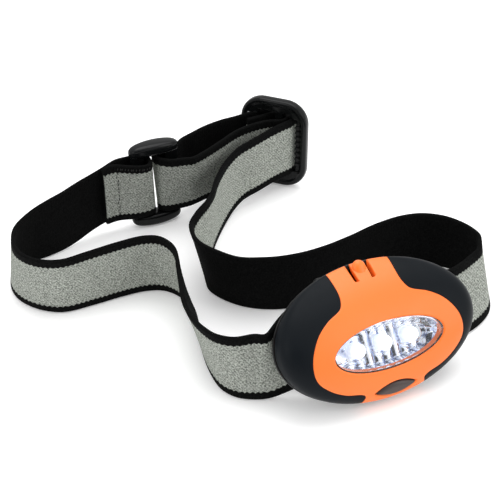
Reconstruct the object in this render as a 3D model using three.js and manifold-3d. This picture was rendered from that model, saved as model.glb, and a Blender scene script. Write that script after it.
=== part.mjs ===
// Headlamp with an oval three-LED lamp, an elastic strap, a ring buckle and a slider buckle.
// Millimetres, +Z up. The headlamp lies on a table: the strap stands on its edge and the lamp leans back.
import * as THREE from 'three';
import { mergeVertices } from 'three/addons/utils/BufferGeometryUtils.js';
import Module from 'manifold-3d';

const wasm = await Module();
wasm.setup();

// ---------------------------------------------------------------- driving dimensions
const GAP = 0.3; // clearance between touching pieces
const DEG = Math.PI / 180;

const LAMP = { halfWidth: 35.6, halfHeight: 22.3, frontDepth: 9.8, backDepth: 9 };
const CROWN = { taper: 0.08, bend: 0.0134 }; // the front is shallower towards its top and bottom edges
const LAMP_CENTRE = new THREE.Vector3(39.4, -71.8, 19.3); // centre of the rim, in the layout
const LAMP_YAW = 26.5; // degrees, the lamp's right end is turned away
const LAMP_LEAN = 36; // degrees, the face looks up
const FRONT_WALL = 2.6;
const BACK_WALL = 1.8;
const GRIP = 1.0; // thickness of the soft side panels
const WINDOW = { halfWidth: 20, halfHeight: 7.6, z: -5 };
const LED = { pitch: 9.8, z: -4.4, radius: 2.5, height: 6.9, base: -0.7 };
const BOARD = { y: -0.4, thickness: 1, halfWidth: 24.4, top: 3.5, bottom: -11.5, tongue: -13.6 };
const SCREW = { x: 22.1, z: -4, shank: 0.8, head: 1.7, pilotHole: 1.1, clearHole: 1.15, boss: 2 };
const BUTTON = { halfWidth: 7.7, halfHeight: 2.5, y: -5.2, z: -19.3, tilt: 36, proud: 0.5 };
const LATCH = { halfWidth: 2.45, slit: 1.4, root: 16.6 };
const CELL = { radius: 10, thickness: 3.2, x: 11, y: 2.1 };
const HINGE = { y: 10.9, z: 17.7, pin: 1.0, bore: 1.3 }; // tilt hinge, in the lamp's frame
const BRACKET = { y: 10.1, thickness: 1.6, halfWidth: 22, bottom: -13.6, top: 15.8 };
const SLOT = { inner: 14, outer: 19.5, bottom: -11.6, top: 14 };

const STRAP = { width: 25, thickness: 1.6, onLampBottom: -11.3 };
const RING = {
  x: -36.5, y: 20, turn: 26, length: 20.4, height: 35.8, rail: 5, depth: 7, endDepth: 4, bow: 1.3,
  post: { from: 3.9, width: 5.7, thickness: 2.4 }, strapZ: 5.4,
};
const SLIDER = {
  x: 9.7, y: 49.7, turn: -22, height: 38.3, corner: 7.5, rail: 5.4, thickness: 3, border: 2.5, bead: 0.6,
  strapZ: 6.3,
};
const LAYOUT_CENTRE = new THREE.Vector3(0.9, 18.4, 0.29); // moves the middle of the layout to the origin

const COLOURS = {
  orange: ['#f27a30', 0.45, 0],
  grip: ['#1c2024', 0.7, 0],
  clear: ['#dfe8ee', 0.1, 0],
  chrome: ['#d8dadd', 0.15, 0.9],
  led: ['#f4f8ff', 0.2, 0],
  board: ['#2f6b3c', 0.6, 0],
  black: ['#15171a', 0.5, 0],
  button: ['#3b2a26', 0.6, 0],
  steel: ['#b8bcc0', 0.35, 0.9],
  buckle: ['#101214', 0.3, 0],
  webbing: ['#9aa09a', 0.9, 0],
};

// ---------------------------------------------------------------- solids
function solid(geometry) {
  const bare = geometry.clone();
  bare.deleteAttribute('normal');
  bare.deleteAttribute('uv');
  const merged = mergeVertices(bare, 1e-4);
  const mesh = new wasm.Mesh({
    numProp: 3,
    vertProperties: Float32Array.from(merged.attributes.position.array),
    triVerts: Uint32Array.from(merged.index.array),
  });
  return new wasm.Manifold(mesh);
}

function geometryOf(manifold) {
  const { vertProperties, triVerts } = manifold.getMesh();
  const geometry = new THREE.BufferGeometry();
  geometry.setAttribute('position', new THREE.BufferAttribute(Float32Array.from(vertProperties), 3));
  geometry.setIndex(new THREE.BufferAttribute(Uint32Array.from(triVerts), 1));
  geometry.computeVertexNormals();
  return geometry;
}

function named(name, shape, colour) {
  const [color, roughness, metalness] = COLOURS[colour];
  const geometry = shape.isBufferGeometry ? shape : geometryOf(shape);
  const mesh = new THREE.Mesh(geometry, new THREE.MeshStandardMaterial({ color, roughness, metalness }));
  mesh.name = name;
  return mesh;
}

// A dome over the lamp's oval rim, bulging towards -Y from y = 0, with a straight skirt behind it.
// section gives its height, 0 to 1, over a distance from the middle of 0 to 1.
function dome(inset, section, distances, skirt, segments = 56) {
  const profile = distances.map((s) => new THREE.Vector2(s, -section(s)));
  if (skirt > 0) profile.push(new THREE.Vector2(1, skirt));
  profile.push(new THREE.Vector2(0, skirt));
  const geometry = new THREE.LatheGeometry(profile, segments);
  return geometry.scale(LAMP.halfWidth - inset, 1, LAMP.halfHeight - inset);
}

// The front: nearly flat across, with a tight turn down to the rim.
function frontDome(inset, skirt) {
  const distances = [0, 0.2, 0.38];
  for (let angle = 9; angle < 90; angle += 9) distances.push(Math.cbrt(Math.sin(angle * DEG)));
  distances.push(0.999, 1);
  const geometry = dome(inset, (s) => (1 - s ** 6) ** (1 / 3.5), distances, skirt);
  const { position } = geometry.attributes;
  for (let i = 0; i < position.count; i++) {
    const z = position.getZ(i);
    const depth = LAMP.frontDepth - CROWN.taper * z - CROWN.bend * z * z - inset;
    if (position.getY(i) < 0) position.setY(i, position.getY(i) * depth);
  }
  return solid(geometry);
}

// The back: half an ellipsoid, towards +Y.
function backDome(inset, skirt) {
  const distances = [];
  for (let angle = 0; angle <= 90; angle += 9) distances.push(angle === 0 ? 0 : Math.sin(angle * DEG));
  const depth = LAMP.backDepth - inset;
  return solid(dome(inset, (s) => depth * Math.sqrt(1 - s * s), distances, skirt).rotateZ(Math.PI));
}

function box(x0, x1, y0, y1, z0, z1) {
  const geometry = new THREE.BoxGeometry(x1 - x0, y1 - y0, z1 - z0);
  return solid(geometry.translate((x0 + x1) / 2, (y0 + y1) / 2, (z0 + z1) / 2));
}

// A round or elliptic bar along Y.
function bar(x, z, radiusX, radiusZ, y0, y1, segments = 32) {
  const geometry = new THREE.CylinderGeometry(1, 1, y1 - y0, segments).scale(radiusX, 1, radiusZ);
  return solid(geometry.translate(x, (y0 + y1) / 2, z));
}

// A round bar along X.
function barX(x0, x1, y, z, radius, segments = 24) {
  const geometry = new THREE.CylinderGeometry(radius, radius, x1 - x0, segments).rotateZ(Math.PI / 2);
  return solid(geometry.translate((x0 + x1) / 2, y, z));
}

// An outline in X and Z, extruded along Y from y0 to y1.
function plate(shape, y0, y1, curveSegments = 10) {
  const geometry = new THREE.ExtrudeGeometry(shape, { depth: y1 - y0, bevelEnabled: false, curveSegments });
  return geometry.rotateX(Math.PI / 2).translate(0, y1, 0);
}

function roundedRectangle(x0, x1, z0, z1, radius, path = new THREE.Shape()) {
  path.moveTo(x0 + radius, z0);
  path.lineTo(x1 - radius, z0);
  path.absarc(x1 - radius, z0 + radius, radius, -Math.PI / 2, 0);
  path.lineTo(x1, z1 - radius);
  path.absarc(x1 - radius, z1 - radius, radius, 0, Math.PI / 2);
  path.lineTo(x0 + radius, z1);
  path.absarc(x0 + radius, z1 - radius, radius, Math.PI / 2, Math.PI);
  path.lineTo(x0, z0 + radius);
  path.absarc(x0 + radius, z0 + radius, radius, Math.PI, Math.PI * 1.5);
  return path;
}

// ---------------------------------------------------------------- front module of the lamp
// The edge of the orange panel on the right side, from the top rim round to the bottom rim.
const PANEL_EDGE = [
  [11.8, 24], [11.4, 20.5], [11.2, 14.7], [12.1, 11.3], [13.8, 9.6], [18.6, 7.5], [23.2, 4], [26.6, -1.2],
  [27.6, -6.2], [26.4, -10.3], [22.5, -14], [17.7, -16.6], [12.6, -18], [11.1, -19.2], [11.7, -20.8],
  [12, -24],
];

// The region outside that edge on one side, as a prism, moved outwards by a clearance.
function gripRegion(side, clearance) {
  const edge = new THREE.SplineCurve(PANEL_EDGE.map(([x, z]) => new THREE.Vector2(x, z)));
  const shape = new THREE.Shape();
  const steps = 36;
  for (let i = 0; i <= steps; i++) {
    const point = edge.getPoint(i / steps);
    const along = edge.getTangent(i / steps);
    const x = side * (point.x - along.y * clearance);
    const z = point.y + along.x * clearance;
    if (i === 0) shape.moveTo(x, z);
    else shape.lineTo(x, z);
  }
  shape.lineTo(side * 45, -24);
  shape.lineTo(side * 45, 24);
  return solid(plate(shape, -12, 2));
}

const inFront = () => box(-60, 60, -30, -GAP / 2, -60, 60);
const behind = () => box(-60, 60, GAP / 2, 30, -60, 60);
const window = (clearance, y0 = -12, y1 = 4) =>
  bar(0, WINDOW.z, WINDOW.halfWidth + clearance, WINDOW.halfHeight + clearance, y0, y1, 56);

// Turns a solid built about the origin, its press direction along +Y, onto the button's place.
function atButton(manifold) {
  return manifold.rotate([BUTTON.tilt, 0, 0]).translate([0, BUTTON.y, BUTTON.z]);
}

// A column with the button's outline: two shallow arcs that meet at its left and right ends.
function buttonColumn(clearance, y0, y1) {
  const [w, h] = [BUTTON.halfWidth + clearance * 1.6, BUTTON.halfHeight + clearance];
  const outline = new THREE.Shape();
  outline.moveTo(-w, 0);
  outline.quadraticCurveTo(0, -2 * h, w, 0);
  outline.quadraticCurveTo(0, 2 * h, -w, 0);
  return atButton(solid(plate(outline, y0, y1, 20)));
}

function frontShell() {
  let shell = frontDome(0, 0).intersect(inFront()).subtract(frontDome(FRONT_WALL, 2));
  for (const side of [-1, 1]) {
    shell = shell.subtract(gripRegion(side, 0).subtract(frontDome(GRIP + GAP, 4)));
    const boss = bar(side * SCREW.x, SCREW.z, SCREW.boss, SCREW.boss, -7.8, -2, 20);
    const pilot = bar(side * SCREW.x, SCREW.z, SCREW.pilotHole, SCREW.pilotHole, -3.6, 0, 16);
    shell = shell.add(boss).subtract(pilot);
  }
  for (const x of [-10, 10]) {
    const root = box(x - 2, x + 2, -1.2, -GAP / 2, -19, -17.4);
    const hook = box(x - 2, x + 2, -0.6, 1.1, -18, -17.4); // reaches inside the back shell's rim
    shell = shell.add(root).add(hook);
  }
  const latchWay = LATCH.halfWidth + LATCH.slit;
  return shell
    .subtract(window(0))
    .subtract(box(-latchWay, latchWay, -12, 2, LATCH.root, 30))
    .subtract(buttonColumn(GAP, -8, 8));
}

function grip(side) {
  const skin = frontDome(0, 0).intersect(inFront()).subtract(frontDome(GRIP, 2));
  return skin.intersect(gripRegion(side, GAP));
}

function latchTab() {
  const tongue = frontDome(0, 0).subtract(frontDome(FRONT_WALL, 2));
  const reach = box(-LATCH.halfWidth, LATCH.halfWidth, -12, 0, LATCH.root + GAP, 30);
  const knob = solid(new THREE.SphereGeometry(1, 24, 16).scale(2.2, 1.9, 4.4).translate(0, -1.9, 19.3));
  return tongue.add(knob).intersect(reach).intersect(inFront());
}

function lens() {
  return frontDome(0.1, 0).subtract(frontDome(1.3, 2)).intersect(window(-GAP));
}

function reflector() {
  const floor = BOARD.y - GAP - 1;
  let tray = frontDome(1.6, 0).intersect(window(-GAP, -12, BOARD.y - GAP));
  const wall = 1.2;
  const bowl = new THREE.CylinderGeometry(0.86, 1.04, 9, 56);
  bowl.scale(WINDOW.halfWidth - wall, 1, WINDOW.halfHeight - wall);
  tray = tray.subtract(solid(bowl.translate(0, floor - 4.5, WINDOW.z)));
  for (const side of [-1, 1]) {
    const inner = Math.min(side * 18, side * 24.2);
    const outer = Math.max(side * 18, side * 24.2);
    tray = tray.add(box(inner, outer, floor, BOARD.y - GAP, SCREW.z - 2.6, SCREW.z + 2.6));
    tray = tray.subtract(bar(side * SCREW.x, SCREW.z, SCREW.clearHole, SCREW.clearHole, -4, 1, 16));
  }
  for (const place of [-1, 0, 1]) {
    tray = tray.subtract(bar(place * LED.pitch, LED.z, LED.radius + GAP, LED.radius + GAP, -4, 1, 28));
  }
  return tray;
}

function led() {
  const straight = LED.height - LED.radius;
  const profile = [new THREE.Vector2(0, 0), new THREE.Vector2(LED.radius, 0)];
  for (let i = 0; i <= 6; i++) {
    const t = (i / 6) * (Math.PI / 2);
    const radius = i === 6 ? 0 : LED.radius * Math.cos(t);
    profile.push(new THREE.Vector2(radius, straight + LED.radius * Math.sin(t)));
  }
  return solid(new THREE.LatheGeometry(profile, 28)).rotate([180, 0, 0]);
}

function circuitBoard() {
  const shape = roundedRectangle(-BOARD.halfWidth, BOARD.halfWidth, BOARD.bottom, BOARD.top, 2);
  const back = BOARD.y + BOARD.thickness;
  const tongue = box(-4, 4, BOARD.y, back, BOARD.tongue, BOARD.bottom + 1);
  let board = solid(plate(shape, BOARD.y, back, 4)).add(tongue);
  for (const side of [-1, 1]) {
    board = board.subtract(bar(side * SCREW.x, SCREW.z, SCREW.clearHole, SCREW.clearHole, -3, 3, 16));
  }
  return board;
}

function boardScrew(side) {
  const head = bar(side * SCREW.x, SCREW.z, SCREW.head, SCREW.head, 0.9, 1.8, 20);
  return head.add(bar(side * SCREW.x, SCREW.z, SCREW.shank, SCREW.shank, -3.3, 1.2, 16));
}

function pushButton() {
  const skin = frontDome(-BUTTON.proud, 0).subtract(frontDome(1.2, 2));
  const clear = box(-30, 30, -30, -0.85, -40, 0); // keeps the pressed button in front of the rim
  const post = atButton(bar(0, 0, 1.3, 1.3, 0.2, 4.5, 20));
  return skin.intersect(buttonColumn(0, -8, 8)).intersect(clear).add(post);
}

const switchPlunger = () => atButton(bar(0, -0.3, 1, 1, 4.8, 5.7, 20));
const tactSwitch = () => atButton(box(-3, 3, 6.4, 9, -2.7, 0.9));

// ---------------------------------------------------------------- back half of the lamp
function backShell() {
  const shell = backDome(0, 0).intersect(behind()).subtract(backDome(BACK_WALL, 2));
  const arm = box(-7.2, 7.2, 3.8, HINGE.y, 16.6, 19.1).subtract(backDome(BACK_WALL, 2));
  const barrel = barX(-7.2, 7.2, HINGE.y, HINGE.z, 2.2);
  return shell.add(arm).add(barrel).subtract(barX(-9, 9, HINGE.y, HINGE.z, HINGE.bore));
}

function batteryHolder() {
  const radius = CELL.radius + 1.3;
  const shape = roundedRectangle(-CELL.x - radius, CELL.x + radius, -radius, radius, radius - 0.01);
  let holder = solid(plate(shape, 2.1, 4.9, 16));
  for (const side of [-1, 1]) {
    holder = holder.subtract(bar(side * CELL.x, 0, CELL.radius + GAP, CELL.radius + GAP, 0, 8, 40));
  }
  return holder;
}

function coinCell(side) {
  const rim = bar(side * CELL.x, 0, CELL.radius, CELL.radius, CELL.y + 0.3, CELL.y + CELL.thickness, 40);
  return rim.add(bar(side * CELL.x, 0, CELL.radius - 1.6, CELL.radius - 1.6, CELL.y, CELL.y + 1, 40));
}

// A folded leaf that presses on a cell and touches the board.
function boardContact(side) {
  const x = side * CELL.x;
  return box(x - 2.5, x + 2.5, 0.9, 1.2, -2.5, 2.5).add(box(x - 1, x + 1, 1.1, 1.8, -1, 1));
}

const seriesContact = () => box(-15, 15, 5.6, 6, -2.5, 2.5);

// ---------------------------------------------------------------- strap bracket, in the lamp's frame
function strapBracket() {
  const shape = roundedRectangle(-BRACKET.halfWidth, BRACKET.halfWidth, BRACKET.bottom, BRACKET.top, 4);
  let bracket = solid(plate(shape, BRACKET.y, BRACKET.y + BRACKET.thickness, 6));
  for (const side of [-1, 1]) {
    const x0 = Math.min(side * SLOT.inner, side * SLOT.outer);
    bracket = bracket.subtract(box(x0, x0 + SLOT.outer - SLOT.inner, 0, 30, SLOT.bottom, SLOT.top));
    const e0 = Math.min(side * 7.5, side * 10.2);
    const ear = barX(e0, e0 + 2.7, HINGE.y, HINGE.z, 2.3)
      .add(box(e0, e0 + 2.7, BRACKET.y, BRACKET.y + BRACKET.thickness, 14, HINGE.z));
    bracket = bracket.add(ear);
  }
  const barrelRoom = barX(-7.4, 7.4, HINGE.y, HINGE.z, 2.5);
  return bracket.subtract(barrelRoom).subtract(barX(-12, 12, HINGE.y, HINGE.z, HINGE.bore));
}

const tiltPin = () => barX(-10.8, 10.8, HINGE.y, HINGE.z, HINGE.pin);

// ---------------------------------------------------------------- buckles, standing on the table
function place(manifold, { x, y, turn }) {
  return manifold.rotate([0, 0, turn]).translate([x, y, 0]);
}

// A rail of the ring, seen from above as a lens with square ends, and bowed outwards at its middle.
function rail(z0, z1) {
  const { length, depth, endDepth, bow } = RING;
  const [end, control] = [endDepth / 2, depth - endDepth / 2];
  const shape = new THREE.Shape();
  shape.moveTo(-length / 2, -end);
  shape.quadraticCurveTo(0, -control, length / 2, -end);
  shape.lineTo(length / 2, end);
  shape.quadraticCurveTo(0, control, -length / 2, end);
  const options = { depth: z1 - z0, bevelEnabled: false, curveSegments: 12 };
  const slab = solid(new THREE.ExtrudeGeometry(shape, options).translate(0, 0, z0));
  const radius = (length * length) / (8 * bow);
  const centreZ = z0 === 0 ? radius : z1 - radius;
  return slab.intersect(bar(0, centreZ, radius, radius, -20, 20, 180));
}

function ringBuckle() {
  const { height, rail: thick, post } = RING;
  const half = post.thickness / 2;
  let ring = rail(0, thick).add(rail(height - thick, height));
  for (const u0 of [-post.from - post.width, post.from]) {
    ring = ring.add(box(u0, u0 + post.width, -half, half, thick / 2, height - thick / 2));
  }
  return place(ring, RING);
}

const SLIDER_BARS = { left: [-13.9, -11.4], centre: [0.6, 4.2], right: [11.4, 14.3] };
const TEETH = { count: 8, pitch: 2.4, half: 0.7, ledge: 9.2 };

function sliderBuckle() {
  const { height, corner, rail: thick, thickness, border, bead } = SLIDER;
  const { left, centre, right } = SLIDER_BARS;
  const half = thickness / 2;
  const outline = () => roundedRectangle(left[0], right[1], 0, height, corner);
  let slider = solid(plate(outline(), -half, half, 8));
  for (const [w0, w1] of [[left[1], centre[0]], [centre[1], right[0]]]) {
    slider = slider.subtract(box(w0, w1, -9, 9, thick, height - thick));
  }
  const rim = outline();
  const [in0, in1] = [left[0] + border, right[1] - border];
  rim.holes.push(roundedRectangle(in0, in1, border, height - border, corner - border, new THREE.Path()));
  slider = slider.add(solid(plate(rim, -half - bead, half + bead, 8)));
  const reach = right[0] + 0.5;
  slider = slider.add(box(TEETH.ledge, reach, -0.2, half, thick - 1, height - thick + 1));
  for (let i = 0; i < TEETH.count; i++) {
    const z = height / 2 + (i - (TEETH.count - 1) / 2) * TEETH.pitch;
    slider = slider.add(box(TEETH.ledge, reach, -half + 0.2, 0, z - TEETH.half, z + TEETH.half));
  }
  return place(slider, SLIDER);
}

// ---------------------------------------------------------------- strap
// A station is where the strap's lower edge passes, and the direction of its upper edge from there.
const stand = (x, y, z = 0, leanX = 0, leanY = 0) => ({ foot: new THREE.Vector3(x, y, z), leanX, leanY });

// By a buckle the strap is placed by its distances along and in front of the buckle, at both edges.
function byBuckle({ x, y, turn, strapZ }, u, n, headU, headN) {
  const [c, s] = [Math.cos(turn * DEG), Math.sin(turn * DEG)];
  const [du, dn] = [headU - u, headN - n];
  return stand(x + u * c - n * s, y + u * s + n * c, strapZ, du * c - dn * s, du * s + dn * c);
}
const atRing = (u, n, headU = u, headN = n) => byBuckle(RING, u, n, headU, headN);
const atSlider = (u, n, headU = u, headN = n) => byBuckle(SLIDER, u, n, headU, headN);

const lampToLayout = new THREE.Matrix4()
  .makeRotationZ(LAMP_YAW * DEG)
  .multiply(new THREE.Matrix4().makeRotationX(-LAMP_LEAN * DEG))
  .setPosition(LAMP_CENTRE);

// On the lamp's back the strap leans with the lamp: yFoot and yHead are its depths at the two edges.
function onLamp(x, yFoot, yHead = yFoot) {
  const foot = new THREE.Vector3(x, yFoot, STRAP.onLampBottom).applyMatrix4(lampToLayout);
  const head = new THREE.Vector3(x, yHead, STRAP.onLampBottom + STRAP.width).applyMatrix4(lampToLayout);
  const lean = head.sub(foot);
  return stand(foot.x, foot.y, foot.z, lean.x, lean.y);
}

// From the lamp's left end round the left bend to the ring buckle, and the sewn flap in front of it.
const LEFT_RUN = [
  onLamp(-14.2, 12.8), onLamp(-16.7, 11), onLamp(-19.2, 9), onLamp(-21.9, 8.9),
  stand(16.2, -81.6, 3.8, -5.6, 9.4), stand(11.3, -82.2, 1.6, -4.1, 3.8), stand(6.6, -83.1, 0.2, -1.8, 1.4),
  stand(2, -83.6, 0, -0.6, 2.4), stand(-4, -82.6, 0, -0.8, -0.4),
  stand(-8.6, -79, 0, -1.8, -2.4), stand(-12.5, -71, 0, -2.4, -5.8), stand(-15.6, -59.6, 0, -3.1, -10),
  stand(-17.9, -47, 0, -4, -12.4), stand(-20.8, -35, 0, -3.2, -10.8), stand(-25.4, -28.5, 0, -0.8, -5),
  stand(-31.4, -25.2, 0, 0.3, -2.4), stand(-38, -25.6, 0, 1, -1.4), stand(-46.5, -29, 0, 0.6, -1.9),
  stand(-56, -33.8, 0, 0.5, -2.6), stand(-66, -37.8, 0, 1.6, -3.3), stand(-75, -36, 0, 2.5, -4.4),
  stand(-82.3, -30.6, 0, 3.2, -5.2), stand(-86.2, -23, 0, 3.8, -6), stand(-86.4, -14.4, 0, 3.4, -5.6),
  stand(-81.6, -7.6, 0, 2.4, -3.6), stand(-75.4, -3.4, 0, 1.2, -1), stand(-70.2, 0.8, 0.2, 1, 0.4),
  stand(-65.6, 5.2, 1, 1, 1), stand(-61.2, 9.6, 2.3, 1, -0.4), stand(-56.6, 12.8, 3.8, 0.9, -0.8),
  atRing(-14.5, 2.4), atRing(-9.5, 2.6), atRing(-4.6, 2.8), atRing(-1.9, 2, -2.9, 1.6),
  atRing(-1, 0, -2.7, -1.4), atRing(-1.9, -2, -2.9, -4.2), atRing(-4.6, -2.7, -4.8, -6),
  atRing(-9.5, -2.5, -9.5, -5), atRing(-13.5, -1.3, -13.5, -2.6), atRing(-17, -0.6), atRing(-21, -1.2),
];

// Behind the bracket, between its two slots.
const LAMP_RUN = [
  onLamp(-13.4, 12.8), onLamp(-8, 12.9), onLamp(8, 12.9), onLamp(13.4, 12.8),
];

// From the lamp's right end round the right bend, behind the lamp, and up to the slider's toothed bar.
const RIGHT_RUN = [
  onLamp(14.2, 12.8), onLamp(16.7, 11), onLamp(19.2, 8.9), onLamp(21.9, 8.7), onLamp(25, 8.2, 7.6),
  onLamp(29.5, 8.6, 7), stand(70.6, -53.2, 0.6, -4.2, 7.4), stand(75.8, -49.2, 0.2, -4.6, 7.6),
  stand(80.3, -44.4, 0, -4.8, 8), stand(83.6, -39, 0, -4.7, 6.4), stand(85, -32, 0, -5.2, 3),
  stand(83.6, -24, 0, -3.8, -0.6), stand(79, -16, 0, -3.2, -2.6), stand(73, -11, 0, -3.3, -3),
  stand(66, -9.4, 0, -3.6, -2.8),
  stand(58, -11, 0, -3.5, -2.7), stand(48, -16, 0, -3.2, -3), stand(38, -23, 0, -3, -3.5),
  stand(28, -29.8, 0, -2.8, -3.3), stand(18, -34.4, 0, -2.5, -3.2), stand(8, -36.2, 0, -3, -3.4),
  stand(-1.4, -34.8, 0, -5, -3.2), stand(-9.4, -30.4, 0, -8.8, 3), stand(-14.4, -24.8, 0, -7, 9.4),
  stand(-15.4, -16.8, 0, -4, 7.2), stand(-15.1, -7.7, 0, -1, 3.2), stand(-13.8, 3, 0, 0, -0.8),
  stand(-11.4, 13, 0, -1.4, -2.6), stand(-8.8, 21, 0.6, -2, -2.8), stand(-6.4, 26.2, 1.5, -2, -2.4),
  stand(-2.6, 31.2, 3, -2, -2.4), stand(3.4, 35, 4.7, -1.6, -1.6), stand(9.6, 40, 5.9, -0.8, -0.8),
  atSlider(6.4, -4.2), atSlider(7.5, -2), atSlider(7.85, 0.2), atSlider(8.2, 2.4),
];

// From behind the slider to the ring buckle, round its right bar and back to the slider's centre bar.
const DOUBLED_RUN = [
  atSlider(7.9, 3.5), atSlider(6, 5.4), atSlider(2.4, 6.2), atSlider(-1.5, 5.4), atSlider(-5, 3.2),
  atSlider(-7.8, 0.2), atSlider(-10.6, -3), stand(-5.6, 48.6, 6), stand(-11.4, 45.8, 5.8),
  stand(-17.6, 41.4, 5.6), stand(-22.6, 36.2, 5.5), atRing(14.4, 6.4), atRing(10, 3.2), atRing(4.9, 2.7),
  atRing(2.4, 2, 1, 2), atRing(1.45, 0, -0.2, 0), atRing(2.4, -2, 0.9, -3.4), atRing(4.9, -2.7, 4.2, -6.2),
  atRing(9.5, -3, 10, -7.4), stand(-23.3, 22.9, 5.6, 1.6, -5), stand(-17.8, 27.4, 5.7, 1.2, -4.4),
  stand(-11.3, 32.9, 5.8, 0.6, -2.6), stand(-4.2, 39.4, 6, 0.2, -1), atSlider(-1.6, -6.4), atSlider(2, -4.1),
  atSlider(4.4, -2.8), atSlider(5.5, 0), atSlider(4.4, 2.8), atSlider(2.4, 3.4), atSlider(0.2, 2.9),
  atSlider(-3.5, -1.4), atSlider(-8.6, -7.4),
];

const STEPS_PER_STATION = 3;

function strapSolid(route) {
  const feet = new THREE.CatmullRomCurve3(route.map((s) => s.foot), false, 'centripetal');
  const leans = new THREE.CatmullRomCurve3(route.map((s) => new THREE.Vector3(s.leanX, s.leanY, 0)), false);
  const count = (route.length - 1) * STEPS_PER_STATION;
  const sections = [];
  for (let i = 0; i <= count; i++) {
    const t = i / count;
    const foot = feet.getPoint(t);
    const lean = leans.getPoint(t);
    const rise = Math.sqrt(STRAP.width ** 2 - lean.x ** 2 - lean.y ** 2);
    const upright = new THREE.Vector3(lean.x, lean.y, rise);
    const ahead = feet.getTangent(t);
    const across = ahead.cross(upright).normalize().multiplyScalar(STRAP.thickness / 2);
    const head = foot.clone().add(upright);
    sections.push([
      foot.clone().add(across), head.clone().add(across), head.clone().sub(across), foot.clone().sub(across),
    ]);
  }
  const positions = sections.flat().flatMap((p) => [p.x, p.y, p.z]);
  const index = [];
  for (let i = 0; i < count; i++) {
    for (let side = 0; side < 4; side++) {
      const [a, b] = [4 * i + side, 4 * i + ((side + 1) % 4)];
      index.push(a, b + 4, b, a, a + 4, b + 4);
    }
  }
  const last = 4 * count;
  index.push(0, 1, 2, 0, 2, 3, last, last + 2, last + 1, last, last + 3, last + 2);
  const geometry = new THREE.BufferGeometry();
  geometry.setAttribute('position', new THREE.Float32BufferAttribute(positions, 3));
  geometry.setIndex(index);
  geometry.computeVertexNormals();
  return geometry;
}

// ---------------------------------------------------------------- assembly
const lamp = new THREE.Group();
lamp.applyMatrix4(lampToLayout);
lamp.add(
  named('front_shell', frontShell(), 'orange'),
  named('left_grip', grip(-1), 'grip'),
  named('right_grip', grip(1), 'grip'),
  named('latch_tab', latchTab(), 'orange'),
  named('lens', lens(), 'clear'),
  named('reflector', reflector(), 'chrome'),
  named('circuit_board', circuitBoard(), 'board'),
  named('board_screw_left', boardScrew(-1), 'steel'),
  named('board_screw_right', boardScrew(1), 'steel'),
  named('push_button', pushButton(), 'button'),
  named('switch_plunger', switchPlunger(), 'black'),
  named('tact_switch', tactSwitch(), 'black'),
  named('back_shell', backShell(), 'black'),
  named('battery_holder', batteryHolder(), 'black'),
  named('coin_cell_left', coinCell(-1), 'steel'),
  named('coin_cell_right', coinCell(1), 'steel'),
  named('board_contact_left', boardContact(-1), 'steel'),
  named('board_contact_right', boardContact(1), 'steel'),
  named('series_contact', seriesContact(), 'steel'),
  named('strap_bracket', strapBracket(), 'black'),
  named('tilt_pin', tiltPin(), 'steel'),
);
for (const [name, side] of [['led_left', -1], ['led_centre', 0], ['led_right', 1]]) {
  const emitter = named(name, led(), 'led');
  emitter.position.set(side * LED.pitch, LED.base, LED.z);
  lamp.add(emitter);
}

const headlamp = new THREE.Group();
headlamp.position.copy(LAYOUT_CENTRE);
headlamp.add(
  lamp,
  named('ring_buckle', ringBuckle(), 'buckle'),
  named('slider_buckle', sliderBuckle(), 'buckle'),
  named('strap_left_run', strapSolid(LEFT_RUN), 'webbing'),
  named('strap_lamp_run', strapSolid(LAMP_RUN), 'webbing'),
  named('strap_right_run', strapSolid(RIGHT_RUN), 'webbing'),
  named('strap_doubled_run', strapSolid(DOUBLED_RUN), 'webbing'),
);

export default headlamp;
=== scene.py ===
# Headlamp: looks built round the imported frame. Lengths are written in millimetres and scaled by MM.
import math
import bmesh
import bpy
import numpy as np
from mathutils import Euler, Matrix, Vector, kdtree
from mathutils.geometry import delaunay_2d_cdt


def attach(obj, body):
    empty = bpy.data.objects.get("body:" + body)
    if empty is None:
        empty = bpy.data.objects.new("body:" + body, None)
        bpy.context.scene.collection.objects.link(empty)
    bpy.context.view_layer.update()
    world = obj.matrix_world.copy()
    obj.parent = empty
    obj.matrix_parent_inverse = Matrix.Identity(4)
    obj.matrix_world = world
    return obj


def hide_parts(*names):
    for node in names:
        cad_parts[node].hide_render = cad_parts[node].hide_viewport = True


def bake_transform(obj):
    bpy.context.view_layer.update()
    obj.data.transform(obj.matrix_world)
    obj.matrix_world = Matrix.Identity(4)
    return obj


MM = 0.001
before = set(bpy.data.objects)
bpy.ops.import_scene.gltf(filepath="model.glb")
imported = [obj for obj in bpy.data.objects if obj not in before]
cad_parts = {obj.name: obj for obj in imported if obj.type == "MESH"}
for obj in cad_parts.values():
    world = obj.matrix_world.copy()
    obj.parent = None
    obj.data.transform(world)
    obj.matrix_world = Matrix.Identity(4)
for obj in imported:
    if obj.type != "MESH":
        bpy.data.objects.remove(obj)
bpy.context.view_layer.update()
TURN = 2 * math.pi
TINY = 1e-9

# ---- layout, as in the CAD source
SHIFT = np.array([0.9, 18.4, 0.29])  # from the layout's origin to the frame's
LAMP_CENTRE = np.array([39.4, -71.8, 19.3]) + SHIFT
LAMP_YAW, LAMP_LEAN = 26.5, 36.0
A, B = 35.6, 22.3  # half width and half height of the lamp's outline
FRONT, BACK = 9.8, 9.0  # depths of the lamp's two halves
RIM = 0.988  # where the front half ends, just short of the parting plane
STRAP_W, STRAP_T = 25.0, 1.6
STRAP_MIDDLE = STRAP_W / 2
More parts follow.
